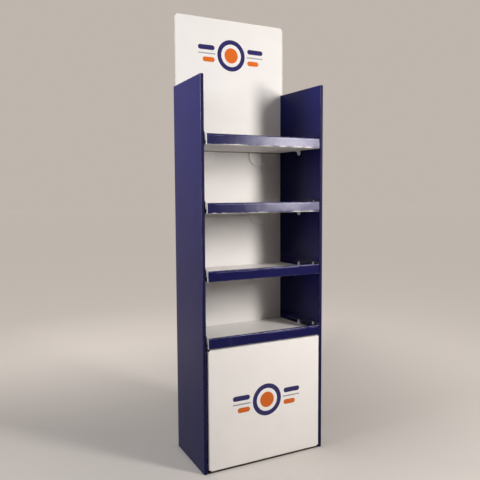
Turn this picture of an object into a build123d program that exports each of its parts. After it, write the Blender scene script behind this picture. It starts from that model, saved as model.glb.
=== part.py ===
"""Cardboard floor display: a folded wrap with a tall header, four shelves with rolled front lips,
a closed plinth, and the plastic clips and push rivets that hold the shelves to the walls."""

import math
import os

from build123d import *

# Board
BOARD = 3.0  # single wall corrugated board
CREASE = 0.5  # inside radius of a crease
SEAT = 0.3  # play between two boards that are pinned or glued together

# Wrap: back, header and double side walls
WIDTH = 450.0  # over the outer side walls, at the rear
SPLAY = 9.0  # how much further out each side wall's front edge stands
DEPTH = 255.0  # side walls, front edge to rear face
WALL = 12.0  # two boards and the hollow between them
GLUE_FLAP = 55.0  # outer wall's return behind the back
GLUE_FLAP_TAPER = 14.0  # slope at the flap's upper and lower ends
HEADER_WIDTH = 441.0
HEADER_HEIGHT = 252.0  # above the side walls
HEADER_CORNER = 16.0
HEADER_RELIEF = 1.5  # cut between the header's ears and the side walls

# Shelves, counted from the floor
SHELF_COUNT = 4
FIRST_SHELF = 420.0  # underside of the lowest shelf
SHELF_PITCH = 219.5
TOP_BAY = 219.5  # underside of the highest shelf to the side walls' top
LIP_HEIGHT = 35.0
LIP_UPSTAND = 20.0  # lip above the shelf's surface
LIP_THICKNESS = 12.0
LIP_PROUD = 10.0  # lip's face ahead of the side walls' front edges
LIP_LEFT_GAP = 4.6  # lip's left end to the side wall
LIP_RIGHT_GAP = 10.0
FLANGE_HEIGHT = 28.0  # turned-up sides above the shelf's surface
FLANGE_CORNER = 10.0
FLANGE_SETBACK = 3.5  # from the side walls' front edges
TONGUE_INSET = 79.0  # rear tongue's middle, from the side wall's inner face at the rear
TONGUE_WIDTH = 124.0
TONGUE_DROP = 50.0  # below the shelf's underside
TONGUE_CORNER = 34.0

# Shelf clips
CLIP_SETBACK = 121.0  # from the side walls' front edges
CLIP_WIDTH = 18.0
CLIP_THICKNESS = 3.0
CLIP_POINT = 16.0  # point above the shelf's surface
CLIP_DROP = 16.0  # round end below the shelf's underside
CLIP_PLAY = 0.2
CLIP_STUD_RISE = 7.0  # stud above the shelf's surface
CLIP_LEDGE = 8.0  # ledge under the shelf, inward from the plate
CLIP_LEDGE_THICKNESS = 3.0

# Push rivets and clip studs, with square shanks
RIVET_HEAD = 10.0
RIVET_HEAD_HEIGHT = 2.2
RIVET_SHANK = 5.6
RIVET_HOLE = 6.0
RIVET_BARB = 8.0
RIVET_BARB_LENGTH = 2.4
RIVET_TIP = 4.4
SIDE_RIVET_SETBACK = 34.0  # from the side walls' front edges
SIDE_RIVET_RISE = 18.0  # above the shelf's surface
REAR_RIVET_MARGIN = 5.0  # above the tongue's lower edge
REAR_RIVET_SHIFT = 9.5  # from the tongue's middle towards the stand's

# Plinth panel
PLINTH_FOOT = 4.0  # clear of the floor
PLINTH_HEAD_GAP = 2.5  # below the lowest shelf
PLINTH_RECESS = 1.0  # behind the side walls' front edges
PLINTH_SHIFT = 2.5  # against the right wall, which leaves a gap at the left
PLINTH_CREASE = 1.5  # inside radius of its softer folds
PLINTH_SIDE_FLANGE = 45.0
PLINTH_FLANGE_LEAN = 28.0  # how far the side flanges spring inward at their ends
PLINTH_END_FLANGE = 60.0
PLINTH_NOTCH_WIDTH = 8.5  # corner cut between neighbouring flanges
PLINTH_NOTCH_HEIGHT = 6.0

# Planes that the pieces share; the origin is on the floor, under the middle of the whole stand
REAR = (DEPTH + LIP_PROUD) / 2
WALL_FRONT = REAR - DEPTH
LIP_FRONT = WALL_FRONT - LIP_PROUD
BACK_REAR = REAR - BOARD - SEAT
BACK_FRONT = BACK_REAR - BOARD
TONGUE_REAR = BACK_FRONT - SEAT
TONGUE_FRONT = TONGUE_REAR - BOARD
FOLD = CREASE + BOARD / 2
PLINTH_FOLD = PLINTH_CREASE + BOARD / 2
RIVET_GRIP = BOARD + SEAT + BOARD


def wall_inside(y):
    """Distance from the middle to the side wall's inner face at depth y."""
    return WIDTH / 2 - WALL + SPLAY * (REAR - y) / DEPTH


# Right side wall's inner face: local x runs rearwards from its front edge, local y up, normal outward
rearwards = Vector(-SPLAY, DEPTH, 0).normalized()
outwards = Vector(DEPTH, SPLAY, 0).normalized()
wall_face = Plane((wall_inside(WALL_FRONT), WALL_FRONT, 0), x_dir=rearwards, z_dir=outwards)
left_wall_face = Plane((-wall_inside(WALL_FRONT), WALL_FRONT, 0), z_dir=(-DEPTH, SPLAY, 0))
flange_face = wall_face.offset(-SEAT - BOARD)

SHELF_BASES = [FIRST_SHELF + SHELF_PITCH * step for step in range(SHELF_COUNT)]
SIDE_HEIGHT = SHELF_BASES[-1] + TOP_BAY
TONGUE_OFFSET = wall_inside(REAR) - TONGUE_INSET
SURFACE_RISE = LIP_HEIGHT - LIP_UPSTAND
SURFACES = [base + SURFACE_RISE for base in SHELF_BASES]
side_rivet_places = [(SIDE_RIVET_SETBACK, surface + SIDE_RIVET_RISE) for surface in SURFACES]
clip_stud_places = [(CLIP_SETBACK, surface + CLIP_STUD_RISE) for surface in SURFACES]
REAR_RIVET_OFFSET = TONGUE_OFFSET - REAR_RIVET_SHIFT
rear_rivet_places = [(REAR_RIVET_OFFSET, base - TONGUE_DROP + REAR_RIVET_MARGIN) for base in SHELF_BASES]

os.makedirs("parts", exist_ok=True)


# Wrap: one sheet, folded from the back round the inner wall, front edge, outer wall and glue flap
back_line = BACK_FRONT + BOARD / 2
front_line = WALL_FRONT + BOARD / 2
flap_line = REAR - BOARD / 2
across_wall = math.hypot(DEPTH, SPLAY) / DEPTH  # sideways measure of a thickness across the wall
inner_line_offset = across_wall * BOARD / 2
outer_line_offset = WALL - across_wall * BOARD / 2

with BuildPart() as body_wrap:
    with BuildSketch(Plane.XY):
        with BuildLine():
            FilletPolyline(
                (0, back_line),
                (wall_inside(back_line) + inner_line_offset, back_line),
                (wall_inside(front_line) + inner_line_offset, front_line),
                (wall_inside(front_line) + outer_line_offset, front_line),
                (wall_inside(flap_line) + outer_line_offset, flap_line),
                (WIDTH / 2 - GLUE_FLAP, flap_line),
                radius=FOLD,
            )
        trace(line_width=BOARD)
    extrude(amount=SIDE_HEIGHT)

    # Sloped ends of the glue flap
    with BuildSketch(Plane.XZ.offset(-REAR)):
        with BuildLine():
            Polyline(
                (WIDTH / 2 - GLUE_FLAP, 0),
                (WIDTH / 2 - WALL, 0),
                (WIDTH / 2 - GLUE_FLAP, GLUE_FLAP_TAPER),
                close=True,
            )
        make_face()
        mirror(about=Plane.XZ.offset(-SIDE_HEIGHT / 2))
    extrude(amount=BOARD, mode=Mode.SUBTRACT)

    # Header, with a neck as wide as the back below its ears
    with BuildSketch(Plane.XZ.offset(-BACK_REAR)) as header:
        with Locations((0, SIDE_HEIGHT)):
            Rectangle(
                HEADER_WIDTH / 2,
                HEADER_HEIGHT,
                align=(Align.MIN, Align.MIN),
            )
        outer_corner = header.vertices().group_by(Axis.Y)[-1].sort_by(Axis.X)[-1]
        fillet(outer_corner, HEADER_CORNER)
        with Locations((wall_inside(BACK_FRONT), SIDE_HEIGHT)):
            Rectangle(WALL, HEADER_RELIEF, align=(Align.MIN, Align.MIN), mode=Mode.SUBTRACT)
    extrude(amount=BOARD)

    # Holes for rivets and clip studs, through the inner wall's board and through the back
    with BuildSketch(wall_face):
        with Locations(*side_rivet_places, *clip_stud_places):
            Rectangle(RIVET_HOLE, RIVET_HOLE)
    extrude(amount=2 * BOARD, mode=Mode.SUBTRACT)
    with BuildSketch(Plane.XZ.offset(-BACK_REAR)):
        with Locations(*rear_rivet_places):
            Rectangle(RIVET_HOLE, RIVET_HOLE)
    extrude(amount=BOARD, mode=Mode.SUBTRACT)

    mirror(about=Plane.YZ)

body_wrap.part.label = "body_wrap"
export_step(body_wrap.part, "parts/body_wrap.step")


# Shelves: bottom, rolled lip, surface and rear wall are one folded strip with flanges and tongues
lip_face_line = LIP_FRONT + BOARD / 2
lip_back_line = LIP_FRONT + LIP_THICKNESS - BOARD / 2
rear_wall_line = TONGUE_REAR - BOARD / 2
strip_half = wall_inside(LIP_FRONT)
tuck_depth = LIP_THICKNESS - 2 * BOARD - SEAT
tuck_height = LIP_HEIGHT - 2 * BOARD - 2 * SEAT
flange_length = TONGUE_FRONT - WALL_FRONT - FLANGE_SETBACK
flange_start = Plane(
    wall_face.from_local_coords((FLANGE_SETBACK, 0, 0)), x_dir=outwards, z_dir=-rearwards
)

for number, base in enumerate(SHELF_BASES, start=1):
    bottom_line = base + BOARD / 2
    lip_top_line = base + LIP_HEIGHT - BOARD / 2
    surface = base + SURFACE_RISE
    surface_line = surface - BOARD / 2

    with BuildPart() as strip:
        with BuildSketch(Plane.YZ):
            with BuildLine():
                FilletPolyline(
                    (TONGUE_FRONT - SEAT, bottom_line),
                    (lip_face_line, bottom_line),
                    (lip_face_line, lip_top_line),
                    (lip_back_line, lip_top_line),
                    (lip_back_line, surface_line),
                    (rear_wall_line, surface_line),
                    (rear_wall_line, base),
                    radius=FOLD,
                )
            trace(line_width=BOARD)
        extrude(amount=strip_half, both=True)

        # Flaps turned in from the lip's face, which close its ends
        with Locations((strip_half, LIP_FRONT + BOARD, base + LIP_HEIGHT / 2)):
            Box(LIP_RIGHT_GAP + BOARD, tuck_depth, tuck_height, align=(Align.MAX, Align.MIN, Align.CENTER))
        with Locations((-strip_half, LIP_FRONT + BOARD, base + LIP_HEIGHT / 2)):
            Box(LIP_LEFT_GAP + BOARD, tuck_depth, tuck_height, align=(Align.MIN, Align.MIN, Align.CENTER))
        split(bisect_by=wall_face.offset(-LIP_RIGHT_GAP), keep=Keep.BOTTOM)
        split(bisect_by=left_wall_face.offset(-LIP_LEFT_GAP), keep=Keep.BOTTOM)

    # Room for the clip beside the flange, for the rivets and for the clip's stud
    with BuildPart() as cutouts:
        with BuildSketch(flange_face):
            with Locations((CLIP_SETBACK, base)):
                Rectangle(
                    CLIP_WIDTH + 2 * CLIP_PLAY, LIP_HEIGHT, align=(Align.CENTER, Align.MIN)
                )
        extrude(amount=-CLIP_THICKNESS - 2 * CLIP_PLAY)
        with BuildSketch(flange_face):
            with Locations(
                (SIDE_RIVET_SETBACK, surface + SIDE_RIVET_RISE),
                (CLIP_SETBACK, surface + CLIP_STUD_RISE),
            ):
                Rectangle(RIVET_HOLE, RIVET_HOLE)
        extrude(amount=BOARD)
        with BuildSketch(Plane.XZ.offset(-TONGUE_REAR)):
            with Locations((REAR_RIVET_OFFSET, base - TONGUE_DROP + REAR_RIVET_MARGIN)):
                Rectangle(RIVET_HOLE, RIVET_HOLE)
        extrude(amount=BOARD)
        mirror(about=Plane.YZ)

    with BuildPart() as shelf:
        # Turned-up flange along the side wall
        with BuildSketch(flange_start):
            with BuildLine():
                FilletPolyline(
                    (-LIP_RIGHT_GAP - BOARD, surface_line),
                    (-SEAT - BOARD / 2, surface_line),
                    (-SEAT - BOARD / 2, surface + FLANGE_HEIGHT),
                    radius=FOLD,
                )
            trace(line_width=BOARD)
        extrude(amount=-flange_length)
        flange_top = shelf.faces().sort_by(Axis.Z)[-1]
        flange_ends = flange_top.edges().group_by(SortBy.LENGTH)[0]
        fillet(flange_ends, FLANGE_CORNER)

        # Rounded tongue that hangs from the rear wall against the back
        with BuildSketch(Plane.XZ.offset(-TONGUE_REAR)) as tongue:
            with Locations((TONGUE_OFFSET, base)):
                Rectangle(TONGUE_WIDTH, TONGUE_DROP, align=(Align.CENTER, Align.MAX))
            fillet(tongue.vertices().group_by(Axis.Y)[0], TONGUE_CORNER)
        extrude(amount=BOARD)

        mirror(about=Plane.YZ)
        add(strip.part)
        add(cutouts.part, mode=Mode.SUBTRACT)

    shelf.part.label = f"shelf_{number}"
    export_step(shelf.part, f"parts/shelf_{number}.step")


# Plinth panel: one sheet, a front with flanges turned back on all four sides
plinth_top = FIRST_SHELF - PLINTH_HEAD_GAP
plinth_face = WALL_FRONT + PLINTH_RECESS
plinth_front_line = plinth_face + BOARD / 2
plinth_turn = math.pi / 2 + math.atan2(PLINTH_FLANGE_LEAN, PLINTH_SIDE_FLANGE - BOARD / 2)
past_fold = PLINTH_FOLD * (math.tan(plinth_turn / 2) - 1)  # sharp corner beyond the rounded fold
plinth_corner = wall_inside(plinth_front_line + PLINTH_FOLD) - SEAT - BOARD / 2 + past_fold
plinth_end_flange_end = plinth_face + PLINTH_END_FLANGE
plinth_middle = Plane.YZ.offset(PLINTH_SHIFT)

with BuildPart() as plinth_panel:
    with BuildSketch(Plane.XY.offset(PLINTH_FOOT + PLINTH_NOTCH_HEIGHT)):
        with BuildLine():
            FilletPolyline(
                (PLINTH_SHIFT, plinth_front_line),
                (plinth_corner, plinth_front_line),
                (plinth_corner - PLINTH_FLANGE_LEAN, plinth_face + PLINTH_SIDE_FLANGE),
                radius=PLINTH_FOLD,
            )
        trace(line_width=BOARD)
    extrude(amount=plinth_top - PLINTH_FOOT - 2 * PLINTH_NOTCH_HEIGHT)
    with BuildSketch(plinth_middle):
        with BuildLine():
            FilletPolyline(
                (plinth_end_flange_end, PLINTH_FOOT + BOARD / 2),
                (plinth_front_line, PLINTH_FOOT + BOARD / 2),
                (plinth_front_line, plinth_top - BOARD / 2),
                (plinth_end_flange_end, plinth_top - BOARD / 2),
                radius=PLINTH_FOLD,
            )
        trace(line_width=BOARD)
    extrude(amount=wall_inside(plinth_face) - PLINTH_NOTCH_WIDTH - PLINTH_SHIFT)
    mirror(about=plinth_middle)

plinth_panel.part.label = "plinth_panel"
export_step(plinth_panel.part, "parts/plinth_panel.step")


# One push rivet: domed head, square shank and a barb past the boards that it pins, along +Z
dome_radius = ((RIVET_HEAD / 2) ** 2 + RIVET_HEAD_HEIGHT**2) / (2 * RIVET_HEAD_HEIGHT)

with BuildPart() as rivet:
    with BuildSketch(Plane.XZ):
        with BuildLine():
            Polyline((0, -RIVET_HEAD_HEIGHT), (0, 0), (RIVET_HEAD / 2, 0))
            RadiusArc((RIVET_HEAD / 2, 0), (0, -RIVET_HEAD_HEIGHT), dome_radius)
        make_face()
    revolve(axis=Axis.Z)
    with BuildSketch(Plane.XY):
        Rectangle(RIVET_SHANK, RIVET_SHANK)
    extrude(amount=RIVET_GRIP)
    with BuildSketch(Plane.XY.offset(RIVET_GRIP)):
        Rectangle(RIVET_BARB, RIVET_BARB)
    with BuildSketch(Plane.XY.offset(RIVET_GRIP + RIVET_BARB_LENGTH)):
        Rectangle(RIVET_TIP, RIVET_TIP)
    loft()

with BuildPart(flange_face) as side_rivets:
    with Locations(*side_rivet_places):
        add(rivet.part)
    mirror(about=Plane.YZ)

side_rivets.part.label = "side_rivets"
export_step(side_rivets.part, "parts/side_rivets.step")

with BuildPart() as rear_rivets:
    for x, z in rear_rivet_places:
        with Locations(Location((x, TONGUE_FRONT, z), (-90, 0, 0))):
            add(rivet.part)
    mirror(about=Plane.YZ)

rear_rivets.part.label = "rear_rivets"
export_step(rear_rivets.part, "parts/rear_rivets.step")


# One shelf clip: plate outline in x and y with its outer face at z = 0, and its stud along +Z
plate_top = CLIP_POINT - CLIP_STUD_RISE
surface_level = -CLIP_STUD_RISE
underside_level = surface_level - SURFACE_RISE
plate_end_centre = underside_level - CLIP_DROP + CLIP_WIDTH / 2
stud_reach = CLIP_PLAY + RIVET_GRIP

with BuildPart() as clip:
    with BuildSketch(Plane.XY):
        with BuildLine():
            Polyline(
                (-CLIP_WIDTH / 2, plate_end_centre),
                (-CLIP_WIDTH / 2, surface_level),
                (0, plate_top),
                (CLIP_WIDTH / 2, surface_level),
                (CLIP_WIDTH / 2, plate_end_centre),
            )
            RadiusArc(
                (CLIP_WIDTH / 2, plate_end_centre),
                (-CLIP_WIDTH / 2, plate_end_centre),
                CLIP_WIDTH / 2,
            )
        make_face()
    extrude(amount=-CLIP_THICKNESS)
    with Locations((0, underside_level - CLIP_PLAY, -CLIP_THICKNESS)):
        Box(
            CLIP_WIDTH,
            CLIP_LEDGE_THICKNESS,
            CLIP_LEDGE,
            align=(Align.CENTER, Align.MAX, Align.MAX),
        )
    with BuildSketch(Plane.XY):
        Rectangle(RIVET_SHANK, RIVET_SHANK)
    extrude(amount=stud_reach)
    with BuildSketch(Plane.XY.offset(stud_reach)):
        Rectangle(RIVET_BARB, RIVET_BARB)
    with BuildSketch(Plane.XY.offset(stud_reach + RIVET_BARB_LENGTH)):
        Rectangle(RIVET_TIP, RIVET_TIP)
    loft()

with BuildPart(flange_face.offset(-CLIP_PLAY)) as shelf_clips:
    with Locations(*clip_stud_places):
        add(clip.part)
    mirror(about=Plane.YZ)

shelf_clips.part.label = "shelf_clips"
export_step(shelf_clips.part, "parts/shelf_clips.step")
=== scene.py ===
import math

import bpy
from mathutils import Matrix, Quaternion, Vector

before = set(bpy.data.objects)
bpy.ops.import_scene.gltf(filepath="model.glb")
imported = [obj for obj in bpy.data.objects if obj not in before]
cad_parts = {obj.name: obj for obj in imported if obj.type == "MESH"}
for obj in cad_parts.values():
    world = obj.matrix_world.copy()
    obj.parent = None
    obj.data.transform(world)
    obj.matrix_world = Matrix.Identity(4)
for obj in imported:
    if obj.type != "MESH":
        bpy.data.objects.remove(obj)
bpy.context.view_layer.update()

# Sizes of the stand, in metres
BOARD = 0.003
SEAT = 0.0003
HALF_DEPTH = 0.1325
WALL = 0.012
WALL_SLOPE = 9 / 255
WALL_INSIDE_AT_REAR = 0.213
WALL_INSIDE_AT_CENTRE = WALL_INSIDE_AT_REAR + HALF_DEPTH * WALL_SLOPE
WALL_TOP = 1.298
WALL_FRONT = -0.1225
BACK_FRONT = 0.1262
BACK_REAR = BACK_FRONT + BOARD
BACK_HALF_WIDTH = 0.2108
HEADER_HALF_WIDTH = 0.2205
SHELF_COUNT = 4
FIRST_SHELF = 0.420
SHELF_PITCH = 0.2195
SHELF_RISE = 0.015
TONGUE_REACH = 0.060
TONGUE_MIDDLE = BACK_FRONT - SEAT - BOARD / 2
LIP_BACK = -0.1205
FLUTE_PITCH = 0.0065

# Places and widths of print, painted shade and highlight lines, painted light, and masks, in metres
HAIR = 0.0001
SLACK = 0.0005
EDGE_REACH = 0.001
CORE_LIMITS = (0.0009, 0.0012)
# The painted shade line just below each shelf's underside: how far it drops, and the height above which it
# stops
SHADE_LINE_DROP = 0.0035
HIGHEST_SHADE_LINE = WALL_TOP - 0.1
# Where the painted light on the inner walls begins, towards the front
PAINTED_LIGHT_START = 0.04
UPPER_SHELVES = FIRST_SHELF + 1.5 * SHELF_PITCH
BARE_STRIP = 0.0014
BARE_STRIP_RAGGED = 0.0026
PRINT_OVERLAP = 0.0004
LIP_END_DEPTH = -0.0042
FLANGE_DEPTH = -0.0045
TONGUE_EDGE_RISE = -0.002
# The painted highlight line along the lips' top: its height, how far it wanders and its half width
LIP_HIGHLIGHT_RISE = 0.031
LIP_HIGHLIGHT_WANDER = 0.004
LIP_HIGHLIGHT_HALF_WIDTH = 0.0007
PLASTIC_GRAIN = 0.00002

# The print motif in metres: radii, bars as (middle, level, half length, half height), and centres
RING_OUTER = 0.056
RING_INNER = 0.040
DISC_RADIUS = 0.027
NAVY_BAR = (0.0995, 0.021, 0.0325, 0.0085)
ORANGE_BAR = (0.0905, -0.021, 0.0235, 0.0085)
GREY_BAR = (0.098, 0.0, 0.034, 0.0022)
HEADER_MOTIF = (0.0, 1.426)
PLINTH_MOTIF = (0.005, 0.215)

# How squarely a face looks along an axis, as that part of its normal
ROUGHLY = 0.5
SQUARE = 0.9
DEAD_ON = 0.95
FOLD_LIMITS = (0.99, 0.80)

# Noise scales, per metre, and the noise levels between which a mask rises
WARP_SCALE = 9.0
CRINKLE_SCALE = 55.0
PAPER_GRAIN_SCALE = 650.0
MOTTLE_SCALE = 14.0
CRACK_SCALE = 60.0
CRACK_LEVELS = (0.40, 0.62)
STREAK_SCALE = 34.0
STREAK_STRETCH = (1.0, 1.0, 0.28)
STREAK_LEVELS = (0.64, 0.78)
RUB_SCALE = 4.0
RUB_LEVELS = (0.45, 0.7)
RAGGED_SCALE = 22.0
RAGGED_LEVELS = (0.44, 0.60)
# Noise for the painted highlight line along the lips' top
LIP_HIGHLIGHT_WANDER_SCALE = 16.0
LIP_HIGHLIGHT_BREAK_SCALE = 11.0
LIP_HIGHLIGHT_BREAK_LEVELS = (0.44, 0.56)
PLASTIC_TONE_SCALE = 120.0
PLASTIC_TONE_LEVELS = (0.3, 0.7)
PLASTIC_GRAIN_SCALE = 900.0
FLUTE_HOLLOW_LEVELS = (-0.2, 0.7)

# Strengths of marks, of painted shade and highlight lines, and of coats, and roughness
SHADE_LINE_STRENGTH = 0.85
LIP_HIGHLIGHT_STRENGTH = 0.6
PLINTH_SCUFF = 0.25
WRAP_FOLD_COAT = 0.5
LIP_FOLD_COAT = 0.4
SHELF_TOP_COAT = 0.6
PAPER_ROUGHNESS = 0.50
WALL_INK_ROUGHNESS = 0.30
SHELF_ROUGHNESS = 0.52
LIP_INK_ROUGHNESS = 0.20
PLINTH_ROUGHNESS = 0.52
BARE_ROUGHER = 0.3
WRAP_RUBBED_ROUGHER = 0.4
SHELF_RUBBED_ROUGHER = 0.35
PLASTIC_ROUGHNESS = (0.30, 0.42)

# Colours of the board, its print and its plastic, and of the light and shade painted on them
# The wrap's, shelves' and plinth's whites are lit and shaded copies of one board white, each set to the
# light its part gets: painted light and shade
PAPER_WHITE = (0.745, 0.72, 0.70, 1)
SHELF_WHITE = (0.79, 0.765, 0.74, 1)
PLINTH_WHITE = (0.885, 0.855, 0.83, 1)
BARE_LINER = (0.66, 0.62, 0.565, 1)
CORE_BROWN = (0.40, 0.31, 0.23, 1)
# The colour of the painted shade line under the shelves
PAINTED_SHADE_LINE = (0.26, 0.21, 0.17, 1)
WALL_INK = (0.0145, 0.013, 0.101, 1)
# The inner walls' ink towards the front, lightened as painted light
PAINTED_LIT_INK = (0.008, 0.008, 0.125, 1)
LIP_INK = (0.004, 0.004, 0.058, 1)
# Near black for the painted shadow in the gap beside the lips' ends
PAINTED_GAP_SHADOW = (0.001, 0.001, 0.008, 1)
# Lighter lilac for worn print, and for painted highlight on the folds and the lips
WORN_AND_HIGHLIGHT_INK = (0.20, 0.19, 0.36, 1)
PRINT_NAVY = (0.024, 0.020, 0.105, 1)
ORANGE_INK = (0.61, 0.125, 0.012, 1)
GREY_INK = (0.31, 0.31, 0.34, 1)
PLASTIC_WHITE = (0.94, 0.95, 0.97, 1)

# How much darker or lighter a colour's second tone is, and how dark painted shade is
PAPER_SHADE = 0.93
LINER_SHADE = 0.9
PLASTIC_SHADE = 0.88
# How dark the painted shade in the flutes' hollows is
HOLLOW_PAINTED_SHADE = 0.35
# How much darker than the lip ink the painted shade on the inner walls and front edges is
INNER_WALL_PAINTED_SHADE = 0.7
INK_LIGHTER = 1.2
INK_DARKER = 0.8

# The floor and the studio round it
FLOOR_HALF = 40.0
FLOOR_TONE = (0.50, 0.47, 0.44, 1)
# The painted shadow under the stand's footprint, and the rim over which it fades
PAINTED_FLOOR_SHADOW = (0.04, 0.035, 0.03, 1)
FLOOR_GLOW = (0.4729, 0.4243, 0.3853, 1)
FOOTPRINT_HALF = (0.22, 0.12)
PAINTED_SHADOW_RIM = (-0.001, 0.004)
GLOW_RIM = (-0.01, 0.03)
GLOW_FALL = (0.0, 1.6)
GLOW_NEAR = 0.25
STUDIO_TONE = (0.52, 0.465, 0.42, 1)
STUDIO_LIGHT_SHARE = 0.10

# Colours of the lamps
WARM_LIGHT = (1.0, 0.97, 0.94)
AMBER_LIGHT = (1.0, 0.93, 0.86)
COOL_LIGHT = (0.85, 0.90, 1.0)
GLEAM_LIGHT = (1.0, 0.95, 0.99)

# The camera: millimetres of lens and sensor, metres and degrees
SENSOR_WIDTH = 36.0
FOCAL_LENGTH = 43.344
CAMERA_PLACE = (-0.9753, -1.8035, 0.9206)
CAMERA_TURN = -27.577
CAMERA_TILT = -4.514
CAMERA_ROLL = 0.306


class Wiring:
    """Adds nodes to one node tree and joins them."""

    def __init__(self, tree):
        self.tree = tree

    def add(self, kind, **settings):
        node = self.tree.nodes.new(kind)
        for name, value in settings.items():
            setattr(node, name, value)
        return node

    def feed(self, socket, value):
        if isinstance(value, bpy.types.NodeSocket):
            self.tree.links.new(value, socket)
        else:
            socket.default_value = value

    def math(self, operation, *values):
        node = self.add("ShaderNodeMath", operation=operation)
        for socket, value in zip(node.inputs, values):
            self.feed(socket, value)
        return node.outputs[0]

    def size(self, value):
        return self.math("ABSOLUTE", value)

    def above(self, value, limit):
        return self.math("GREATER_THAN", value, limit)

    def below(self, value, limit):
        return self.math("LESS_THAN", value, limit)

    def every(self, first, *others):
        for other in others:
            first = self.math("MULTIPLY", first, other)
        return first

    def either(self, first, *others):
        for other in others:
            first = self.math("MAXIMUM", first, other)
        return first

    def without(self, mask, hole):
        return self.math("MULTIPLY", mask, self.math("SUBTRACT", 1.0, hole))

    def ramp(self, value, low, high, low_to=0.0, high_to=1.0):
        node = self.add("ShaderNodeMapRange", interpolation_type="SMOOTHSTEP")
        for socket, part in zip(node.inputs, (value, low, high, low_to, high_to)):
            self.feed(socket, part)
        return node.outputs[0]

    def blend(self, factor, first, second):
        node = self.add("ShaderNodeMix", data_type="RGBA")
        self.feed(node.inputs["Factor"], factor)
        self.feed(node.inputs[6], first)
        self.feed(node.inputs[7], second)
        return node.outputs[2]

    def place(self):
        return self.add("ShaderNodeTexCoord").outputs["Object"]

    def split(self, vector):
        node = self.add("ShaderNodeSeparateXYZ")
        self.feed(node.inputs[0], vector)
        return node.outputs

    def facing(self):
        return self.split(self.add("ShaderNodeNewGeometry").outputs["Normal"])

    def noise(self, scale, detail=2.0, stretch=None):
        coordinates = self.place()
        if stretch:
            mapping = self.add("ShaderNodeMapping")
            self.feed(mapping.inputs["Vector"], coordinates)
            mapping.inputs["Scale"].default_value = stretch
            coordinates = mapping.outputs[0]
        node = self.add("ShaderNodeTexNoise")
        self.feed(node.inputs["Vector"], coordinates)
        node.inputs["Scale"].default_value = scale
        node.inputs["Detail"].default_value = detail
        return node.outputs["Fac"]

    def place_group(self, tree, **values):
        node = self.add("ShaderNodeGroup", node_tree=tree)
        for name, value in values.items():
            self.feed(node.inputs[name.replace("_", " ").title()], value)
        return node.outputs


def new_group(name, inputs, outputs):
    tree = bpy.data.node_groups.new(name, "ShaderNodeTree")
    for label, value in inputs:
        socket = tree.interface.new_socket(label, in_out="INPUT", socket_type="NodeSocketFloat")
        socket.default_value = value
    for label in outputs:
        tree.interface.new_socket(label, in_out="OUTPUT", socket_type="NodeSocketFloat")
    wiring = Wiring(tree)
    return wiring, wiring.add("NodeGroupInput").outputs, wiring.add("NodeGroupOutput").inputs


def flute_wave(w, along):
    return w.math("SINE", w.math("MULTIPLY", along, 2 * math.pi / FLUTE_PITCH))


def make_board_face():
    """The face of corrugated board: washboard over the flutes, warp, crinkles, grain and mottled tone."""
    w, given, made = new_group(
        "board_face",
        [("Washboard", 0.00002), ("Warp", 0.0006), ("Crinkle", 0.0), ("Grain", 0.00001)],
        ["Height", "Tone"],
    )
    x, y, _ = w.split(w.place())
    sideways = w.size(w.facing()[0])
    along = w.math("MULTIPLY_ADD", w.math("SUBTRACT", y, x), sideways, x)
    ridges = w.math("MULTIPLY", flute_wave(w, along), given["Washboard"])
    warp = w.math("MULTIPLY", w.noise(WARP_SCALE, 3.0), given["Warp"])
    crinkle = w.math("MULTIPLY", w.noise(CRINKLE_SCALE, 4.0), given["Crinkle"])
    grain = w.math("MULTIPLY", w.noise(PAPER_GRAIN_SCALE), given["Grain"])
    w.feed(made["Height"], w.math("ADD", w.math("ADD", ridges, warp), w.math("ADD", crinkle, grain)))
    w.feed(made["Tone"], w.noise(MOTTLE_SCALE, 5.0))
    return w.tree


def make_cut_edge():
    """The cut edge of the board: how far the core shows between its liners, and painted shade in the flutes'
    hollows.
    """
    w, given, made = new_group("cut_edge", [("Middle", 0.0)], ["Core", "Hollow"])
    x, y, z = w.split(w.place())
    w.feed(made["Core"], w.ramp(given["Middle"], *CORE_LIMITS, 1.0, 0.0))
    along = w.math("ADD", w.math("ADD", x, y), z)
    w.feed(made["Hollow"], w.ramp(flute_wave(w, along), *FLUTE_HOLLOW_LEVELS))
    return w.tree


def make_fold_wear_and_highlight():
    """The rounded turn of a fold, burnished by creasing, and where it is rubbed or cracked, with painted
    highlight along the folds.
    """
    w, given, made = new_group("fold_wear_and_highlight", [("Amount", 1.0)], ["Turn", "Worn and highlight"])
    flatness = w.either(*(w.size(part) for part in w.facing()))
    turn = w.ramp(flatness, *FOLD_LIMITS)
    cracks = w.ramp(w.noise(CRACK_SCALE, 6.0), *CRACK_LEVELS)
    w.feed(made["Turn"], turn)
    w.feed(made["Worn and highlight"], w.every(turn, cracks, given["Amount"]))
    return w.tree


def make_scuffs():
    """Fine rubbed marks that handling leaves on print and paper."""
    w, given, made = new_group("scuffs", [("Amount", 1.0)], ["Rubbed"])
    streaks = w.ramp(w.noise(STREAK_SCALE, 8.0, STREAK_STRETCH), *STREAK_LEVELS)
    patches = w.ramp(w.noise(RUB_SCALE, 2.0), *RUB_LEVELS)
    w.feed(made["Rubbed"], w.every(streaks, patches, given["Amount"]))
    return w.tree


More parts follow.
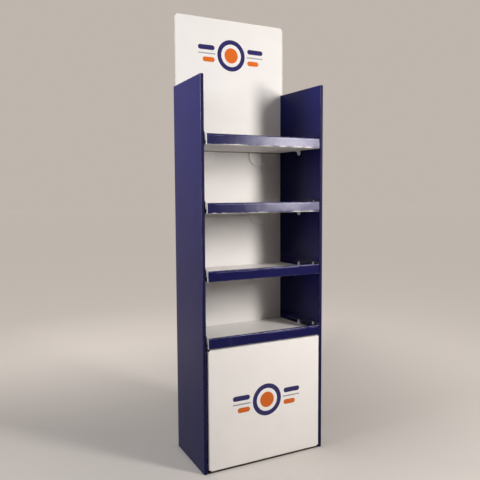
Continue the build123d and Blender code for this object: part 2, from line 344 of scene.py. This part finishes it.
def make_print_motif():
    """A plain print motif: a ring with a disc in it and short bars at both sides."""
    w, given, made = new_group(
        "print_motif", [("Centre", 0.0), ("Height", 0.0)], ["Navy", "Orange", "Grey"]
    )
    x, _, z = w.split(w.place())
    across = w.math("SUBTRACT", x, given["Centre"])
    up = w.math("SUBTRACT", z, given["Height"])
    out = w.size(across)

    def sum_of_squares(first, second):
        return w.math("ADD", w.math("MULTIPLY", first, first), w.math("MULTIPLY", second, second))

    def bar(middle, level, half_length, half_height):
        from_middle = w.size(w.math("SUBTRACT", out, middle))
        past = w.math("MAXIMUM", w.math("SUBTRACT", from_middle, half_length - half_height), 0.0)
        rise = w.math("SUBTRACT", up, level)
        return w.below(sum_of_squares(past, rise), half_height**2)

    radius = w.math("SQRT", sum_of_squares(across, up))
    ring = w.every(w.below(radius, RING_OUTER), w.above(radius, RING_INNER))
    w.feed(made["Navy"], w.either(ring, bar(*NAVY_BAR)))
    w.feed(made["Orange"], w.either(w.below(radius, DISC_RADIUS), bar(*ORANGE_BAR)))
    w.feed(made["Grey"], bar(*GREY_BAR))
    return w.tree


board_face = make_board_face()
cut_edge = make_cut_edge()
fold_wear_and_highlight = make_fold_wear_and_highlight()
scuffs = make_scuffs()
print_motif = make_print_motif()


def new_material(name, specular):
    material = bpy.data.materials.new(name)
    material.use_nodes = True
    wiring = Wiring(material.node_tree)
    shader = material.node_tree.nodes["Principled BSDF"]
    shader.inputs["Specular IOR Level"].default_value = specular
    return material, wiring, shader


def finish_surface(w, shader, height, colour, roughness):
    bump = w.add("ShaderNodeBump")
    bump.inputs["Distance"].default_value = 1.0
    w.feed(bump.inputs["Height"], height)
    w.feed(shader.inputs["Normal"], bump.outputs[0])
    w.feed(shader.inputs["Base Color"], colour)
    w.feed(shader.inputs["Roughness"], roughness)


def shade_of(colour, factor):
    return (colour[0] * factor, colour[1] * factor, colour[2] * factor, 1)


def mottled(w, tone, colour, shade):
    return w.blend(tone, shade_of(colour, shade), colour)


def ink_tone(w, tone, ink):
    return w.blend(tone, shade_of(ink, INK_DARKER), shade_of(ink, INK_LIGHTER))


def edge_tone(w, middle):
    cut = w.place_group(cut_edge, middle=middle)
    # Painted shade: the flutes' hollows darken the core
    core = w.blend(cut["Hollow"], CORE_BROWN, shade_of(CORE_BROWN, HOLLOW_PAINTED_SHADE))
    return w.blend(cut["Core"], BARE_LINER, core)


def add_print(w, colour, where, centre, height):
    motif = w.place_group(print_motif, centre=centre, height=height)
    for part, ink in (("Navy", PRINT_NAVY), ("Orange", ORANGE_INK), ("Grey", GREY_INK)):
        colour = w.blend(w.every(motif[part], where), colour, ink)
    return colour


def shelf_rise(w, z):
    """Height above the underside of the nearest shelf, from the tongues' reach below it."""
    level = w.math("FLOORED_MODULO", w.math("SUBTRACT", z, FIRST_SHELF - TONGUE_REACH), SHELF_PITCH)
    return w.math("SUBTRACT", level, TONGUE_REACH)


def wall_depth(w, width, y):
    """How far a point lies behind the inner face of the side wall."""
    inside = w.math("MULTIPLY_ADD", y, -WALL_SLOPE, WALL_INSIDE_AT_CENTRE)
    return w.math("SUBTRACT", width, inside)


def make_printed_board():
    """The wrap: white back and header with a print, navy side walls and glue flaps, bare liner behind."""
    material, w, shader = new_material("printed_board", specular=0.12)
    x, y, z = w.split(w.place())
    nx, ny, nz = w.facing()
    width = w.size(x)
    depth = wall_depth(w, width, y)
    face = w.place_group(board_face, washboard=0.00002, warp=0.0008, grain=0.00001)

    walls = w.every(w.above(width, BACK_HALF_WIDTH), w.below(z, WALL_TOP + SLACK))
    flaps = w.above(y, BACK_REAR + SEAT / 2)
    hollow = w.every(
        w.above(depth, BOARD + HAIR),
        w.below(depth, WALL - BOARD - HAIR),
        w.above(y, WALL_FRONT + BOARD),
        w.below(y, BACK_REAR - SEAT),
    )
    behind = w.every(
        w.above(ny, ROUGHLY),
        w.above(y, BACK_FRONT),
        w.without(w.below(width, BACK_HALF_WIDTH), flaps),
    )
    bare = w.either(hollow, behind)
    inked = w.without(w.either(walls, flaps), bare)
    sideways = w.above(w.size(nx), SQUARE)
    upright_edge = w.every(
        sideways,
        w.either(w.above(z, WALL_TOP), flaps),
        w.below(width, HEADER_HALF_WIDTH + EDGE_REACH),
    )
    cut = w.either(w.above(w.size(nz), SQUARE), upright_edge)
    from_wall = w.size(w.math("SUBTRACT", depth, WALL / 2))
    from_wall = w.size(w.math("SUBTRACT", from_wall, (WALL - BOARD) / 2))
    from_back = w.size(w.math("SUBTRACT", y, (BACK_FRONT + BACK_REAR) / 2))
    middle = w.math("MULTIPLY_ADD", w.math("SUBTRACT", from_wall, from_back), walls, from_back)

    folds = w.place_group(fold_wear_and_highlight, amount=0.12)
    rubbed = w.place_group(scuffs, amount=0.22)["Rubbed"]
    outside = w.either(w.every(w.above(depth, WALL / 2), sideways), flaps)
    front_facing = w.below(ny, -ROUGHLY)
    # Painted light and shade: the inner walls' ink grows lighter towards the front and is a dark copy of the
    # lip ink towards the rear; the front edges take the dark copy
    painted_light_toward_front = w.without(w.ramp(y, PAINTED_LIGHT_START, WALL_FRONT), front_facing)
    ink = w.blend(painted_light_toward_front, shade_of(LIP_INK, INNER_WALL_PAINTED_SHADE), PAINTED_LIT_INK)
    ink = w.blend(outside, ink, ink_tone(w, face["Tone"], WALL_INK))
    # Worn print, and painted highlight along the folds, in one lighter lilac
    ink = w.blend(w.either(folds["Worn and highlight"], rubbed), ink, WORN_AND_HIGHLIGHT_INK)

    rise = shelf_rise(w, z)
    # Painted shade: a dark line on the back just below each shelf's underside
    shade_line = w.every(w.above(rise, -SHADE_LINE_DROP), w.below(rise, SLACK), w.below(z, HIGHEST_SHADE_LINE))
    paper = mottled(w, face["Tone"], PAPER_WHITE, PAPER_SHADE)
    paper = w.blend(w.every(shade_line, SHADE_LINE_STRENGTH), paper, PAINTED_SHADE_LINE)
    colour = w.blend(inked, paper, ink)
    colour = w.blend(bare, colour, mottled(w, face["Tone"], BARE_LINER, LINER_SHADE))
    header = w.every(front_facing, w.above(y, BACK_FRONT - SLACK), w.above(z, WALL_TOP))
    colour = add_print(w, colour, header, *HEADER_MOTIF)
    colour = w.blend(cut, colour, edge_tone(w, middle))

    gloss = w.math("MULTIPLY_ADD", inked, WALL_INK_ROUGHNESS - PAPER_ROUGHNESS, PAPER_ROUGHNESS)
    gloss = w.math("MULTIPLY_ADD", w.either(bare, cut, w.below(ny, -DEAD_ON)), BARE_ROUGHER, gloss)
    gloss = w.math("MULTIPLY_ADD", rubbed, WRAP_RUBBED_ROUGHER, gloss)
    shader.inputs["Coat Roughness"].default_value = 0.12
    w.feed(shader.inputs["Coat Weight"], w.every(folds["Turn"], inked, WRAP_FOLD_COAT))
    finish_surface(w, shader, face["Height"], colour, gloss)
    return material


def make_shelf_board():
    """A shelf: white board with a navy rolled lip and navy flanges."""
    material, w, shader = new_material("shelf_board", specular=0.16)
    x, y, z = w.split(w.place())
    nx, ny, nz = w.facing()
    depth = wall_depth(w, w.size(x), y)
    rise = shelf_rise(w, z)
    face = w.place_group(board_face, washboard=0.00003, warp=0.0010, crinkle=0.00035, grain=0.00001)

    upper = w.above(z, UPPER_SHELVES)
    ragged = w.ramp(w.noise(RAGGED_SCALE, 4.0), *RAGGED_LEVELS)
    bare_strip = w.math("MULTIPLY_ADD", ragged, BARE_STRIP_RAGGED, BARE_STRIP)
    print_start = w.math("MULTIPLY_ADD", bare_strip, upper, -PRINT_OVERLAP)
    lip_end = w.every(w.above(w.size(nx), SQUARE), w.below(depth, LIP_END_DEPTH))
    lip = w.every(w.below(y, LIP_BACK + SLACK), w.above(rise, print_start))
    flange = w.every(w.above(depth, FLANGE_DEPTH), w.above(rise, SHELF_RISE + SLACK))
    inked = w.without(w.either(lip, flange), lip_end)
    flange_end = w.every(w.below(ny, -ROUGHLY), w.above(y, LIP_BACK + SLACK), w.below(y, 0.0))
    tongue_edge = w.every(w.below(w.size(ny), ROUGHLY), w.below(rise, TONGUE_EDGE_RISE))

    folds = w.place_group(fold_wear_and_highlight, amount=0.6)
    rubbed = w.place_group(scuffs, amount=0.25)["Rubbed"]
    # Painted highlight: a wavering, broken lilac line just below each lip's top
    from_lip_highlight = w.math("SUBTRACT", rise, LIP_HIGHLIGHT_RISE)
    from_lip_highlight = w.math("MULTIPLY_ADD", w.noise(LIP_HIGHLIGHT_WANDER_SCALE, 3.0), LIP_HIGHLIGHT_WANDER, from_lip_highlight)
    painted_lip_highlight = w.every(
        w.below(w.size(from_lip_highlight), LIP_HIGHLIGHT_HALF_WIDTH),
        w.ramp(w.noise(LIP_HIGHLIGHT_BREAK_SCALE, 2.0), *LIP_HIGHLIGHT_BREAK_LEVELS),
        LIP_HIGHLIGHT_STRENGTH,
    )
    # Worn print, and painted highlight along the lips' folds and top, in one lighter lilac
    ink = w.blend(w.either(folds["Worn and highlight"], rubbed, painted_lip_highlight), ink_tone(w, face["Tone"], LIP_INK), WORN_AND_HIGHLIGHT_INK)

    # Painted shade: a dark band on the tongues just below the shelf's underside
    shade_line = w.every(w.above(rise, -SHADE_LINE_DROP), w.below(rise, -HAIR))
    paper = mottled(w, face["Tone"], SHELF_WHITE, PAPER_SHADE)
    paper = w.blend(w.every(shade_line, SHADE_LINE_STRENGTH), paper, PAINTED_SHADE_LINE)
    colour = w.blend(inked, paper, ink)
    # Painted shadow: the flanges' front ends, in the gap beside the lips' ends, are painted near black
    colour = w.blend(flange_end, colour, PAINTED_GAP_SHADOW)
    from_tongue = w.size(w.math("SUBTRACT", y, TONGUE_MIDDLE))
    colour = w.blend(tongue_edge, colour, edge_tone(w, from_tongue))

    gloss = w.math("MULTIPLY_ADD", inked, LIP_INK_ROUGHNESS - SHELF_ROUGHNESS, SHELF_ROUGHNESS)
    gloss = w.math("MULTIPLY_ADD", rubbed, SHELF_RUBBED_ROUGHER, gloss)
    shelf_top = w.without(w.above(nz, SQUARE), inked)
    fold_coat = w.every(folds["Turn"], inked, LIP_FOLD_COAT)
    shader.inputs["Coat Roughness"].default_value = 0.18
    w.feed(shader.inputs["Coat Weight"], w.either(fold_coat, w.every(shelf_top, SHELF_TOP_COAT)))
    finish_surface(w, shader, face["Height"], colour, gloss)
    return material


def make_white_board():
    """The plinth's panel: white board with a print on its front and bare liner behind."""
    material, w, shader = new_material("white_board", specular=0.22)
    ny = w.facing()[1]
    face = w.place_group(board_face, washboard=0.00002, warp=0.0010, grain=0.00001)
    front = w.below(ny, -ROUGHLY)
    behind = w.above(ny, ROUGHLY)
    colour = mottled(w, face["Tone"], PLINTH_WHITE, PAPER_SHADE)
    colour = add_print(w, colour, front, *PLINTH_MOTIF)
    colour = w.blend(behind, colour, mottled(w, face["Tone"], BARE_LINER, LINER_SHADE))
    rubbed = w.place_group(scuffs, amount=0.5)["Rubbed"]
    colour = w.blend(w.every(rubbed, PLINTH_SCUFF), colour, BARE_LINER)
    gloss = w.math("MULTIPLY_ADD", behind, BARE_ROUGHER, PLINTH_ROUGHNESS)
    finish_surface(w, shader, face["Height"], colour, gloss)
    return material


def make_white_plastic():
    """Moulded white plastic with a fine satin grain and slightly darker patches."""
    material, w, shader = new_material("white_plastic", specular=0.5)
    tone = w.noise(PLASTIC_TONE_SCALE, 3.0)
    colour = mottled(w, tone, PLASTIC_WHITE, PLASTIC_SHADE)
    grain = w.math("MULTIPLY", w.noise(PLASTIC_GRAIN_SCALE), PLASTIC_GRAIN)
    finish_surface(w, shader, grain, colour, w.ramp(tone, *PLASTIC_TONE_LEVELS, *PLASTIC_ROUGHNESS))
    return material


finishes = {
    "body_wrap": make_printed_board(),
    "plinth_panel": make_white_board(),
}
shelf_finish = make_shelf_board()
plastic_finish = make_white_plastic()
for number in range(1, SHELF_COUNT + 1):
    finishes[f"shelf_{number}"] = shelf_finish
for name in ("side_rivets", "rear_rivets", "shelf_clips"):
    finishes[name] = plastic_finish
for name, material in finishes.items():
    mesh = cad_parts[name].data
    mesh.materials.clear()
    mesh.materials.append(material)


def seen_rays(w):
    """One for rays that show a surface to the eye, straight, in gloss or through glass."""
    path = w.add("ShaderNodeLightPath").outputs
    return w.either(path["Is Camera Ray"], path["Is Glossy Ray"], path["Is Transmission Ray"])


def make_floor():
    """A pale floor that keeps the stand's shadow, with a painted shadow under the stand, and a glow that
    fades near it.
    """
    mesh = bpy.data.meshes.new("floor")
    half = FLOOR_HALF
    corners = [(-half, -half, 0), (half, -half, 0), (half, half, 0), (-half, half, 0)]
    mesh.from_pydata(corners, [], [(0, 1, 2, 3)])
    floor = bpy.data.objects.new("floor", mesh)
    bpy.context.scene.collection.objects.link(floor)
    material, w, shader = new_material("pale_floor", specular=0.1)
    shader.inputs["Roughness"].default_value = 0.9
    shader.inputs["Emission Color"].default_value = FLOOR_GLOW
    x, y, _ = w.split(w.place())
    half_width, half_depth = FOOTPRINT_HALF
    beyond_sides = w.math("SUBTRACT", w.size(x), half_width)
    beyond_front = w.math("SUBTRACT", w.size(y), half_depth)
    beyond = w.either(beyond_sides, beyond_front)
    # Painted shadow: the floor is near black under the stand's footprint
    w.feed(shader.inputs["Base Color"], w.blend(w.ramp(beyond, *PAINTED_SHADOW_RIM), PAINTED_FLOOR_SHADOW, FLOOR_TONE))
    glow = w.every(w.ramp(beyond, *GLOW_RIM), w.ramp(beyond, *GLOW_FALL, GLOW_NEAR, 1.0))
    w.feed(shader.inputs["Emission Strength"], w.every(seen_rays(w), glow))
    mesh.materials.append(material)


def make_world():
    """A plain studio that is seen in full and lights the stand with a small share of its strength."""
    world = bpy.data.worlds.new("studio")
    bpy.context.scene.world = world
    world.use_nodes = True
    w = Wiring(world.node_tree)
    background = world.node_tree.nodes["Background"]
    background.inputs["Color"].default_value = STUDIO_TONE
    strength = w.math("MULTIPLY_ADD", seen_rays(w), 1 - STUDIO_LIGHT_SHARE, STUDIO_LIGHT_SHARE)
    w.feed(background.inputs["Strength"], strength)


def make_softbox(name, centre, target, size, watts, colour, roll=0.0):
    """A softbox that looks at its target, rolled about its own axis by an angle in radians."""
    lamp = bpy.data.lights.new(name, "AREA")
    lamp.shape = "RECTANGLE"
    lamp.size, lamp.size_y = size
    lamp.energy = watts
    lamp.color = colour
    box = bpy.data.objects.new(name, lamp)
    bpy.context.scene.collection.objects.link(box)
    box.location = centre
    box.rotation_mode = "QUATERNION"
    aim = (Vector(target) - Vector(centre)).to_track_quat("-Z", "Y")
    box.rotation_quaternion = aim @ Quaternion((0, 0, 1), roll)
    return box


def make_lamps():
    """Lamps that shape the board's light and shade, and gleams that show only in its gloss."""
    # The roll puts the key's lower end further right, which widens the shade in the lower bays
    key = make_softbox(
        "key",
        centre=(0.84, -1.47, 1.335),
        target=(0.0, 0.0, 1.2),
        size=(0.30, 0.78),
        watts=36.2,
        colour=WARM_LIGHT,
        roll=0.18,
    )
    gleam = make_softbox(
        "gleam",
        centre=(0.97, -1.49, 1.22),
        target=(0.1, -0.13, 1.09),
        size=(0.30, 0.78),
        watts=43.0,
        colour=GLEAM_LIGHT,
    )
    make_softbox(
        "side_fill",
        centre=(-1.10, -0.06, 1.50),
        target=(-0.2, -0.02, 1.15),
        size=(0.5, 0.5),
        watts=12.0,
        colour=COOL_LIGHT,
    )
    fold_gleam = make_softbox(
        "fold_gleam",
        centre=(-1.10, -0.06, 0.90),
        target=(-0.2, -0.02, 0.90),
        size=(0.2, 0.8),
        watts=7.0,
        colour=COOL_LIGHT,
    )
    front_fill = make_softbox(
        "front_fill",
        centre=(-1.05, -2.1, 2.4),
        target=(0.0, 0.1, 1.0),
        size=(0.6, 0.6),
        watts=9.0,
        colour=AMBER_LIGHT,
    )
    back_fill = make_softbox(
        "back_fill",
        centre=(-0.3, 2.1, 1.6),
        target=(0.0, 0.13, 0.8),
        size=(1.0, 1.0),
        watts=8.0,
        colour=WARM_LIGHT,
    )
    for lamp in (key, front_fill, back_fill):
        lamp.visible_glossy = False
    for lamp in (gleam, fold_gleam):
        lamp.visible_diffuse = False
    back_fill.visible_camera = False


def make_camera():
    lens = bpy.data.cameras.new("camera")
    lens.sensor_width = SENSOR_WIDTH
    lens.lens = FOCAL_LENGTH
    camera = bpy.data.objects.new("camera", lens)
    bpy.context.scene.collection.objects.link(camera)
    turn = Matrix.Rotation(math.radians(CAMERA_TURN), 4, "Z")
    tilt = Matrix.Rotation(math.radians(CAMERA_TILT), 4, "X")
    roll = Matrix.Rotation(math.radians(CAMERA_ROLL), 4, "Y")
    upright = Matrix.Rotation(math.radians(90), 4, "X")
    camera.matrix_world = Matrix.Translation(CAMERA_PLACE) @ turn @ tilt @ roll @ upright
    bpy.context.scene.camera = camera


make_floor()
make_world()
make_lamps()
make_camera()
bpy.context.scene.view_settings.view_transform = "Standard"
